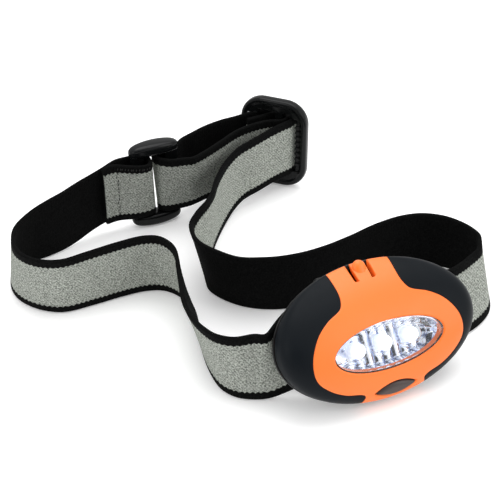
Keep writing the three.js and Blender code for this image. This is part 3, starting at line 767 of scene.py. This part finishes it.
def triangulated(loops, constraints, spots):
    """Triangles over the loops' inside that keep every constraint line."""
    edges, start = [], 0
    for loop in constraints:
        edges += [(start + i, start + (i + 1) % len(loop)) for i in range(len(loop))]
        start += len(loop)
    flat = [Vector(p) for line in constraints for p in line] + [Vector(p) for p in spots]
    verts, _, faces, *_ = delaunay_2d_cdt(flat, edges, [], 0, 1e-7)
    verts = np.array([tuple(v) for v in verts])
    keep = within(np.array([verts[list(f)].mean(0) for f in faces]), loops)
    faces = [tuple(f) for f, k in zip(faces, keep) if k]
    used = sorted({v for f in faces for v in f})
    renumbered = {v: i for i, v in enumerate(used)}
    return verts[used], [tuple(renumbered[v] for v in f) for f in faces]


def sheet_on_dome(name, outer, holes, thickness, radius, spacing=0.85, lift=0.0, step=None, step_depth=0.0,
                  rounding=None, flush=None):
    """A moulded panel that follows the front dome: rounded edges, a wall of the given thickness.
    step is a closed line inside which the surface is full height; outside it the surface drops by step_depth.
    flush picks the edge points that are left square, where another panel carries on."""
    loops = [resampled(outer, 0.45)] + [resampled(h, 0.40) for h in holes]
    rows, constraints, trees = [], list(loops), [nearest(loops)]
    soft_tree = trees[0]
    if flush is not None:
        soft_tree = nearest([loop[~flush(disk_to_dome(*loop.T))] for loop in loops])
    if step is not None:
        line = resampled(step, 0.40)
        out_steps = inward(line, True)
        trees.append(nearest([line]))
        rows += [line - out_steps * d for d in EDGE_ROWS] + [line + out_steps * 0.3]
        constraints += [line, line + out_steps * 0.04]
    for index, loop in enumerate(loops):
        steps = inward(loop, index > 0)
        rows += [loop + steps * d for d in EDGE_ROWS]
    candidates = [(p, ROW_CLEAR) for row in rows for p in row]
    candidates += [(np.array(p), GRID_CLEAR) for p in dome_grid(spacing)]
    points = np.array([p for p, _ in candidates])
    good = (np.hypot(*points.T) < RIM - 0.0005) & within(points, loops)
    spots = []
    for (p, clear), ok in zip(candidates, good):
        if ok and all(tree.find(Vector(disk_to_dome(*p)))[2] >= clear for tree in trees):
            spots.append(p)
    verts, faces = triangulated(loops, constraints, spots)
    full = inside_loop(verts, line) if step is not None else np.ones(len(verts), bool)
    top = []
    for (p, q), inner in zip(verts, full):
        here = Vector(disk_to_dome(p, q))
        drop = fillet(soft_tree.find(here)[2], radius)
        if step is not None:
            near = trees[1].find(here)[2]
            drop = max(drop, fillet(near, rounding) if near < 0.02 or inner else step_depth)
        top.append(disk_to_dome(p, q, drop - lift))
    skins = np.vstack([top, disk_to_dome(*verts.T, thickness)])
    skins[:, 1] = np.minimum(skins[:, 1], -0.15)
    count = len(verts)
    sides = dict.fromkeys((f[i], f[(i + 1) % 3]) for f in faces for i in range(3))
    walls = [(a, b, b + count, a + count) for a, b in sides if (b, a) not in sides]
    back = [tuple(v + count for v in f[::-1]) for f in faces]
    return lamp_mesh(name, skins, faces + back + walls, 42)


PANEL_EDGE = [  # across and up from the lamp's middle, from the top rim to the bottom rim
    (11.8, 24), (11.4, 20.5), (11.2, 14.7), (12.1, 11.3), (13.8, 9.6), (18.6, 7.5), (23.2, 4),
    (26.6, -1.2), (27.6, -6.2), (26.4, -10.3), (22.5, -14), (17.7, -16.6), (12.6, -18), (11.1, -19.2),
    (11.7, -20.8), (12, -24),
]
WINDOW_W, WINDOW_H, WINDOW_Z = 20.0, 7.6, -5.0
BUTTON_W, BUTTON_H, BUTTON_Y, BUTTON_Z, BUTTON_TILT = 7.7, 2.5, -5.2, -19.3, math.radians(36)
HOLE_GAP, CAP_GAP = 0.3, 0.35  # the hole's wall slants to the press direction, so the cap is small for it
LATCH_W, LATCH_SLIT, LATCH_ROOT = 2.45, 1.4, 16.6


def panel_line():
    """The orange panel's right-hand edge, in disk coordinates."""
    points = np.array(PANEL_EDGE, float)
    line = catmull(points, np.arange(len(points), dtype=float), 8)
    line = line[np.hypot(line[:, 0] / A, line[:, 1] / B) < 0.9995]
    disk = xz_to_disk(*line.T)
    return disk[np.hypot(*disk.T) < RIM - 0.002]


def rim_arc(a, b, count=60):
    """Rim points from the direction of a to that of b, the short way."""
    start, end = math.atan2(a[1], a[0]), math.atan2(b[1], b[0])
    turn = (end - start + math.pi) % TURN - math.pi
    angles = [start + turn * i / count for i in range(count + 1)]
    return [(RIM * math.cos(t), RIM * math.sin(t)) for t in angles]


def shifted(line, amount):
    """A line moved sideways by some millimetres on the dome."""
    moves = []
    for point, tangent in zip(line, np.gradient(line, axis=0)):
        slopes, square = sideways(point, tangent)
        moves.append(np.linalg.lstsq(slopes, square * amount, rcond=None)[0])
    return line + np.array(moves)


def button_outline(clearance, count=40):
    """The lens-shaped push button, projected on the dome along its press direction."""
    w, h = BUTTON_W + clearance, BUTTON_H + clearance
    across = [-1 + 2 * i / count for i in range(count + 1)]
    upper = [(w * s, h * (1 - s * s)) for s in across]
    outline = upper + [(u, -v) for u, v in upper[-2:0:-1]]
    push = np.array([0, math.cos(BUTTON_TILT), math.sin(BUTTON_TILT)])
    rise = np.array([0, -math.sin(BUTTON_TILT), math.cos(BUTTON_TILT)])
    found = []
    for u, v in outline:
        base = np.array([u, BUTTON_Y, BUTTON_Z]) + rise * v
        low, high = -8.0, 8.0
        for _ in range(40):
            middle = (low + high) / 2
            x, y, z = base + push * middle
            inside = (x / A) ** 2 + (z / B) ** 2 < 1 and -y < front_depth(x, z)
            low, high = (low, middle) if inside else (middle, high)
        found.append((base + push * high)[[0, 2]])
    disk = xz_to_disk(*np.array(found).T)
    reach = np.hypot(*disk.T)
    limit = RIM - 0.012
    return disk * np.where(reach > limit, limit / reach, 1.0)[:, None]


def latch_gap():
    """The outline of the opening for the latch tongue and the slits beside it, open at the rim."""
    w, r, z = LATCH_W + LATCH_SLIT, 0.55, LATCH_ROOT
    path = [(-w, 21.4), (-w, z + r), (-w + 0.15, z + 0.15), (-w + r, z), (-LATCH_W, z)]
    path += [(-x, z) for x, z in path[::-1]]
    return [xz_to_disk(x, z) for x, z in path]


def at_root(points):
    """The line where the latch tongue joins the panel."""
    return (np.abs(points[:, 0]) < LATCH_W - 0.2) & (np.abs(points[:, 2] - LATCH_ROOT) < 0.1)


right_line = panel_line()
left_line = right_line * [-1, 1]
panel_loop = np.vstack([right_line, rim_arc(right_line[-1], left_line[-1]), left_line[::-1],
                        rim_arc(left_line[0], right_line[0])])
gap = latch_gap()
stops = [gap[-1], (RIM, 0.0001), (0.0001, -RIM), (-RIM, 0.0001), gap[0]]
shell_loop = rim_arc(stops[0], stops[1], 90)
for start, end in zip(stops[1:], stops[2:]):
    shell_loop += rim_arc(start, end, 90)[1:]
shell_loop += [tuple(p) for p in gap[1:-1]]
oval = np.array(around(120))
window = xz_to_disk(WINDOW_W * np.cos(oval), WINDOW_Z + WINDOW_H * np.sin(oval))
front_shell = sheet_on_dome("front_shell_moulding", shell_loop, [window, button_outline(HOLE_GAP)], 2.6, 0.38,
                            step=panel_loop, step_depth=1.3, rounding=0.4, flush=at_root)
finish_piece(front_shell, ORANGE, "lamp_front", "orange_plastic", "front_shell")


def latch_tongue():
    """The springy tongue between the slits, with the ridge that a fingernail catches."""
    ends = ((LATCH_W, 21.6), (LATCH_W, LATCH_ROOT), (-LATCH_W, LATCH_ROOT), (-LATCH_W, 21.6))
    corners = [xz_to_disk(x, z) for x, z in ends]
    loop = rim_arc(corners[3], corners[0], 24) + [tuple(c) for c in corners[1:3]]
    tongue = sheet_on_dome("tongue", loop, [], 2.2, 0.35, spacing=0.5, flush=at_root)
    bm = bmesh.new()
    bmesh.ops.create_uvsphere(bm, u_segments=48, v_segments=32, radius=1.0)
    for v in bm.verts:
        v.co = (2.35 * v.co.x, 1.6 * v.co.y, (2.5 if v.co.z > 0 else 5.6) * v.co.z)
    bmesh.ops.translate(bm, vec=(0, -1.75, 20.4), verts=bm.verts)
    onto_lamp(bm)
    tongue = boolean(tongue, linked("knob", bm), "UNION")
    tongue.name = "latch_tongue"
    return smooth(tongue, 42)


tongue = latch_tongue()
painted(tongue, ORANGE)
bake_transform(tongue)
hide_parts("latch_tab")

for side, name in ((-1, "left"), (1, "right")):
    line = shifted(right_line, -0.3) * [side, 1]
    ends = rim_arc(line[-1], (side * RIM, 0.0), 80)[1:] + rim_arc((side * RIM, 0.0), line[0], 80)[1:]
    grip = sheet_on_dome(f"{name}_grip_pad", np.vstack([line, ends]), [], 1.0, 0.42)
    finish_piece(grip, GRIP, "lamp_front", "grip_plastic", f"{name}_grip")

button = sheet_on_dome("push_button_cap", button_outline(-CAP_GAP), [], 0.9, 1.1, spacing=0.5, lift=0.45)
finish_piece(button, BUTTON, "button", "button_plastic", "push_button")


def two_skins(name, rows, columns, place, sharp):
    """A closed bowl from an outer and an inner skin; place(skin, ring, angle) gives each point."""
    order = [(0, i) for i in range(rows)] + [(1, i) for i in reversed(range(rows))]
    points = [place(skin, i, a) for skin, i in order for a in around(columns)]
    faces = [f for f in grid_faces(rows * 2, columns) if f[0] // columns != rows - 1]
    faces += [ring(rows - 1, columns), ring(rows, columns)[::-1]] + bridge(2 * rows - 1, 0, columns)
    return lamp_mesh(name, points, faces, sharp)


BACK_RINGS, LENS_RINGS = 44, 22


def back_point(skin, i, a):
    r = RIM * (1 - i / (BACK_RINGS - 1)) + 0.004
    inset = (0.3, 0.1, 0.02)[i] if skin == 0 and i < 3 else (0.0, 1.8)[skin]
    return disk_to_dome(r * math.cos(a), r * math.sin(a), inset, True)


HINGE = (10.9, 17.7)  # where the tilt hinge's pin runs across, behind and above the lamp's middle


def back_moulding():
    """The back half with the hinge arm and barrel on its top edge."""
    back = two_skins("back_dome", BACK_RINGS, 144, back_point, 42)
    back = boolean(back, lamp_block("arm", (0, 7.3, 17.85), (14.4, 7.0, 2.5), 0.5), "UNION")
    back = boolean(back, lamp_rod("barrel", 7.2, *HINGE, 2.2), "UNION")
    back = boolean(back, lamp_rod("bore", 9, *HINGE, 1.3), "DIFFERENCE")
    return smooth(welded(back, 5e-6, slivers=True), 42)


finish_piece(back_moulding(), BLACK, "lamp_back", "black_plastic", "back_shell")


# ---- optics
def lens_point(skin, i, a):
    k = 1 - i / LENS_RINGS
    x, z = (WINDOW_W - 0.12) * k * math.cos(a), WINDOW_Z + (WINDOW_H - 0.12) * k * math.sin(a)
    soft = 0.12 if i == 0 else 0.0
    return disk_to_dome(*xz_to_disk(x, z), (0.15 + soft, 1.3 - soft)[skin])


finish_piece(two_skins("window_lens", LENS_RINGS, 120, lens_point, 50), LENS, "lamp_front", "lens", "lens")


def window_oval(wide, high, a):
    """Across and up on an oval given by its share of the window's width and height."""
    return WINDOW_W * wide * math.cos(a), WINDOW_Z + WINDOW_H * high * math.sin(a)


FLUTE_PITCH, FLUTE_DEPTH = 3.3, 0.6
LED_PITCH, LED_Z = 9.8, -4.4
TRAY_SKIN = 0.7


def reflector_mesh():
    """A deep chromed tray: lip, drafted wall, rounded foot and fluted floor with collars round the LEDs."""
    lip = [(0.988, 0.975, 1.75), (0.972, 0.935, 1.72), (0.958, 0.90, 1.95)]
    wall = [(0.95 - 0.075 * t, 0.885 - 0.115 * t, -7.6 + 5.5 * t) for t in np.linspace(0, 1, 12)]
    foot = [(0.875 - 0.022 * (1 - math.cos(t)), 0.77 - 0.045 * (1 - math.cos(t)), -2.1 + 0.42 * math.sin(t))
            for t in np.linspace(0.2, math.pi / 2, 6)]
    columns = 320
    angles = around(columns)
    points = []
    for wide, high, inset in lip:
        for a in angles:
            x, z = window_oval(wide, high, a)
            points.append((x, -front_depth(x, z, inset), z))
    for i, (wide, high, y) in enumerate(wall + foot):
        for a in angles:
            flute = abs(math.sin(math.pi * WINDOW_W * wide * math.cos(a) / FLUTE_PITCH)) * abs(math.sin(a))
            x, z = window_oval(wide, high * (1 - 0.07 * min(1.0, i / 4) * flute), a)
            points.append((x, y, z))
    wide, high, floor = foot[-1]
    for k in np.linspace(0.93, 0.06, 16):
        for a in angles:
            x, z = window_oval(wide * k, high * k, a)
            from_led = min(math.hypot(x - p * LED_PITCH, z - LED_Z) for p in (-1, 0, 1))
            collar = 0.32 * math.exp(-((from_led - 3.2) / 0.3) ** 2)
            fade = min(1.0, max(0.0, from_led - 3.6))
            flute = FLUTE_DEPTH * abs(math.sin(math.pi * x / FLUTE_PITCH)) * fade
            points.append((x, floor - collar - flute, z))
    rows = len(points) // columns
    faces = grid_faces(rows, columns) + [ring(rows - 1, columns)]
    # the same skin again behind, closed at the lip
    front = np.array(points)
    back = front.copy()
    back[:, 0] *= 1 + TRAY_SKIN / WINDOW_W * (front[:, 1] > -8.6)
    back[:, 1] = np.minimum(front[:, 1] + TRAY_SKIN, -1.0)
    faces += [tuple(v + len(front) for v in f[::-1]) for f in faces]
    tray = lamp_mesh("reflector_tray", np.vstack([front, back]), faces + bridge(0, rows, columns), 60)
    # painted shade for the chrome: 1 down in each flute, 0 on its crests, and none on the lip and upper wall
    painted_flute_shade = 1 - np.abs(np.sin(math.pi * front[:, 0] / FLUTE_PITCH)) ** 0.6
    point_values(tray, "painted_flute_shade", np.tile(np.where(front[:, 1] < -7.2, 0.0, painted_flute_shade), 2))
    ears = [lamp_block("ear", (side * 21.4, -1.2, -4), (5.6, 1.0, 5.2), 0.3) for side in (-1, 1)]
    tray = smooth(joined("reflector_tray", [tray] + ears), 60)
    finish_piece(tray, CHROME, "lamp_front", "reflector_chrome", "reflector")


def led_mesh(name, x, node):
    """A round 5 mm LED: flange, straight side and domed end, as rings of (radius, depth, glow)."""
    radius, dome = 2.5, -5.1
    profile = [(2.85, -0.7, 0), (2.9, -0.9, 0), (2.9, -1.6, 0), (2.85, -1.7, 0), (2.55, -1.75, 0.05)]
    profile += [(radius, y, 0.05 + 0.2 * (-1.9 - y) / 3.2) for y in np.linspace(-1.9, dome, 8)]
    profile += [(radius * math.cos(t), dome - radius * math.sin(t), 0.25 + 0.75 * min(1.0, 1.6 * math.sin(t)))
                for t in np.linspace(0.1, math.pi / 2 - 0.05, 14)]
    columns = 64
    angles = around(columns)
    points = [(x + r * math.cos(a), y, LED_Z + r * math.sin(a)) for r, y, _ in profile for a in angles]
    obj = lamp_mesh(name, points, tube_faces(len(profile), columns), 60)
    point_values(obj, "glow", [g for _, _, g in profile for _ in angles])
    finish_piece(obj, LED, "lamp_front", "led", node)


reflector_mesh()
for place, side in ((-1, "left"), (0, "centre"), (1, "right")):
    led_mesh(f"led_emitter_{side}", place * LED_PITCH, f"led_{side}")


# ---- pieces kept from the CAD
def softened(node, name, width, material, body, slot_name):
    """A copy of a CAD piece with its sharp edges rounded over."""
    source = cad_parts[node]
    bpy.context.view_layer.update()
    obj = placed(name, source.data.copy())
    obj.data.transform(source.matrix_world)
    welded(obj, 1e-6)
    edge = obj.modifiers.new("edge", "BEVEL")
    edge.width = width * MM
    edge.segments = 2
    edge.limit_method = "ANGLE"
    edge.angle_limit = math.radians(42)
    edge.use_clamp_overlap = True
    finish_piece(smooth(applied(obj), 45), material, body, slot_name, node)


def coat(material, *nodes):
    for node in nodes:
        painted(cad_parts[node], material)


for row in (("strap_bracket", "bracket_plate", 0.3, BLACK, "strap", "black_plastic"),
            ("battery_holder", "cell_holder", 0.2, BLACK, "lamp_back", "black_plastic"),
            ("circuit_board", "board_plate", 0.08, BOARD, "lamp_front", "board"),
            ("coin_cell_left", "cell_left", 0.18, STEEL, "lamp_back", "steel"),
            ("coin_cell_right", "cell_right", 0.18, STEEL, "lamp_back", "steel"),
            ("tact_switch", "switch_case", 0.15, BLACK, "lamp_front", "black_plastic"),
            ("series_contact", "cell_link", 0.08, STEEL, "lamp_back", "steel")):
    softened(*row)
coat(STEEL, "board_screw_left", "board_screw_right", "board_contact_left", "board_contact_right", "tilt_pin")
coat(BLACK, "switch_plunger")


# ---- buckles
def by_turn(objects, at):
    """Carries pieces drawn in a buckle's own axes to its place."""
    place = Vector((at["x"] + SHIFT[0], at["y"] + SHIFT[1], SHIFT[2])) * MM
    for obj in objects:
        obj.data.transform(Matrix.Rotation(math.radians(at["turn"]), 4, "Z"))
        obj.data.transform(Matrix.Translation(place))
    return objects


RAIL_HEIGHT, RAIL_BOW = 5.0, 1.2
RAIL_END, RAIL_MIDDLE = 2.0, 3.5  # half thicknesses


def swelling_rail(name, length, foot):
    """A rail with an oval section that swells and bows outwards at its middle."""
    rows, columns = 40, 40
    points = []
    for i in range(rows):
        t = -1 + 2 * i / (rows - 1)
        end = math.sqrt(max(1 - abs(t) ** 9, 0.0)) * 0.98 + 0.02
        half = (RAIL_END + (RAIL_MIDDLE - RAIL_END) * (1 - t * t)) * end
        bow = RAIL_BOW * t * t
        low, high = (foot + bow, foot + RAIL_HEIGHT) if foot == 0 else (foot, foot + RAIL_HEIGHT - bow)
        for a in around(columns):
            z = (low + high) / 2 + (high - low) / 2 * end * squared(math.sin(a), 0.6)
            points.append((t * length / 2, half * squared(math.cos(a), 0.6), z))
    return mesh_object(name, points, tube_faces(rows, columns), 60)


def ring_moulding():
    """The ring: two rails and the two posts that the strap loops round."""
    height = RING["height"]
    rails = [swelling_rail("rail", RING["length"], foot) for foot in (0.0, height - RAIL_HEIGHT)]
    posts = [block("post", (side * RING["post"], 0, height / 2), (5.7, 2.4, 30), 0.7) for side in (-1, 1)]
    return moulded("ring_moulding", by_turn(rails + posts, RING), 0.28)


def rim_tube(name, u0, u1, height, corner, half_flat, half_deep):
    """A closed oval bead along a rounded rectangle in the buckle's own plane."""
    path = []
    r = corner - half_flat
    low, high, left, right = corner, height - corner, u0 + corner, u1 - corner
    centres = ((right, low), (right, high), (left, high), (left, low))
    for quarter, (cu, cz) in enumerate(centres):
        for k in range(13):
            a = math.radians(90 * (quarter - 1) + 90 * k / 12)
            path.append((cu + r * math.cos(a), cz + r * math.sin(a), math.cos(a), math.sin(a)))
    columns = 24
    points = []
    for u, z, out_u, out_z in path:
        for a in around(columns):
            flat, deep = half_flat * squared(math.cos(a), 0.7), half_deep * squared(math.sin(a), 0.7)
            points.append((u + out_u * flat, deep, z + out_z * flat))
    faces = grid_faces(len(path), columns) + bridge(len(path) - 1, 0, columns)
    return mesh_object(name, points, faces, 60)


TEETH, TOOTH_PITCH, TOOTH_U = 8, 2.4, 10.5


def slider_moulding():
    """The slider: a thick round-cornered frame, three bars and a row of teeth beside the right-hand bar."""
    height = SLIDER["height"]
    middle = height / 2
    pieces = [rim_tube("rim", SLIDER["left"], SLIDER["right"], height, SLIDER["corner"], 1.35, 2.1)]
    for side in (-1, 1):
        pieces.append(block("rail", (0.2, 0, middle + side * (middle - 3.3)), (18.0, 3.0, 4.2), 0.5))
        for end in (-1, 1):
            centre = (0.2 + side * 9.0, 0, middle + end * (middle - 5.6))
            pieces.append(block("corner", centre, (4.6, 3.0, 3.6), 0.5))
    for u, width, short, radius in ((-12.4, 2.4, 15, 0.7), (2.4, 3.6, 6, 0.8), (12.7, 2.6, 15, 0.7)):
        pieces.append(block("bar", (u, 0, middle), (width, 3.0, height - short), radius))
    pieces.append(block("ledge", (TOOTH_U, 0.65, middle), (2.6, 1.7, height - 7), 0.3))
    for i in range(TEETH):
        z = middle + (i - (TEETH - 1) / 2) * TOOTH_PITCH
        pieces.append(block("tooth", (TOOTH_U, -0.5, z), (2.6, 1.7, 1.3), 0.35))
    return moulded("slider_moulding", by_turn(pieces, SLIDER), 0.26)


finish_piece(ring_moulding(), BUCKLE, "strap", "buckle_plastic", "ring_buckle")
finish_piece(slider_moulding(), BUCKLE, "strap", "buckle_plastic", "slider_buckle")

# ---- camera, floor and light
camera = placed("camera", bpy.data.cameras.new("camera"))
camera.data.lens = 86.4
camera.data.sensor_width = 36.0
camera.data.clip_start = 0.01
camera.location = Vector(np.array([0, -372.7, 261.0]) + SHIFT) * MM
camera.rotation_euler = (math.radians(55), 0, 0)
bpy.context.scene.camera = camera


def stage_plane(name, size, place, material):
    bpy.ops.mesh.primitive_plane_add(size=size, location=place)
    plane = bpy.context.object
    plane.name = name
    plane.data.materials.append(material)
    return plane


paper = Nodes("white_paper")
tone = paper.ramp(paper.noise(paper.place(), 3.0), 0.3, 0.7)
paper.set(Base_Color=paper.mix(tone, (0.90, 0.90, 0.90), (0.92, 0.92, 0.92)), Roughness=0.9,
          Emission_Color=(1, 1, 1, 1), Emission_Strength=0.22)
stage_plane("floor", 6, (0, 0, 0), paper.material)

world = bpy.data.worlds.new("studio")
bpy.context.scene.world = world
world.use_nodes = True
world.node_tree.nodes["Background"].inputs["Color"].default_value = (1, 1, 1, 1)
world.node_tree.nodes["Background"].inputs["Strength"].default_value = 0.95
bpy.context.scene.view_settings.view_transform = "Standard"


def aim(place, target, axis):
    return (Vector(target) - Vector(place)).to_track_quat(axis, "Y").to_euler()


def softbox(name, place, target, size, power):
    light = bpy.data.lights.new(name, "AREA")
    light.shape = "RECTANGLE"
    light.size, light.size_y = size
    light.energy = power
    obj = placed(name, light)
    obj.location = place
    obj.rotation_euler = aim(place, target, "-Z")


softbox("top_light", (0.05, 0.20, 0.75), (0, 0, 0), (0.8, 0.6), 4.2)
softbox("front_light", (-0.45, -0.55, 0.5), (0, -0.03, 0.02), (0.4, 0.4), 1.0)
softbox("right_light", (0.6, -0.25, 0.35), (0.03, -0.04, 0.02), (0.25, 0.5), 1.0)

# a dark card behind the camera keeps glare off the faces turned towards it
felt = Nodes("dark_felt")
nap = felt.ramp(felt.noise(felt.place(), 40.0), 0.3, 0.7)
felt.set(Base_Color=felt.mix(nap, (0.012, 0.012, 0.014), (0.022, 0.022, 0.024)), Roughness=0.95,
         Specular_IOR_Level=0.05)
card = stage_plane("dark_card", 1, (-0.02, -0.68, 0.42), felt.material)
card.scale = (0.62, 0.42, 1)
card.rotation_euler = aim(card.location, (0.04, -0.05, 0.02), "Z")
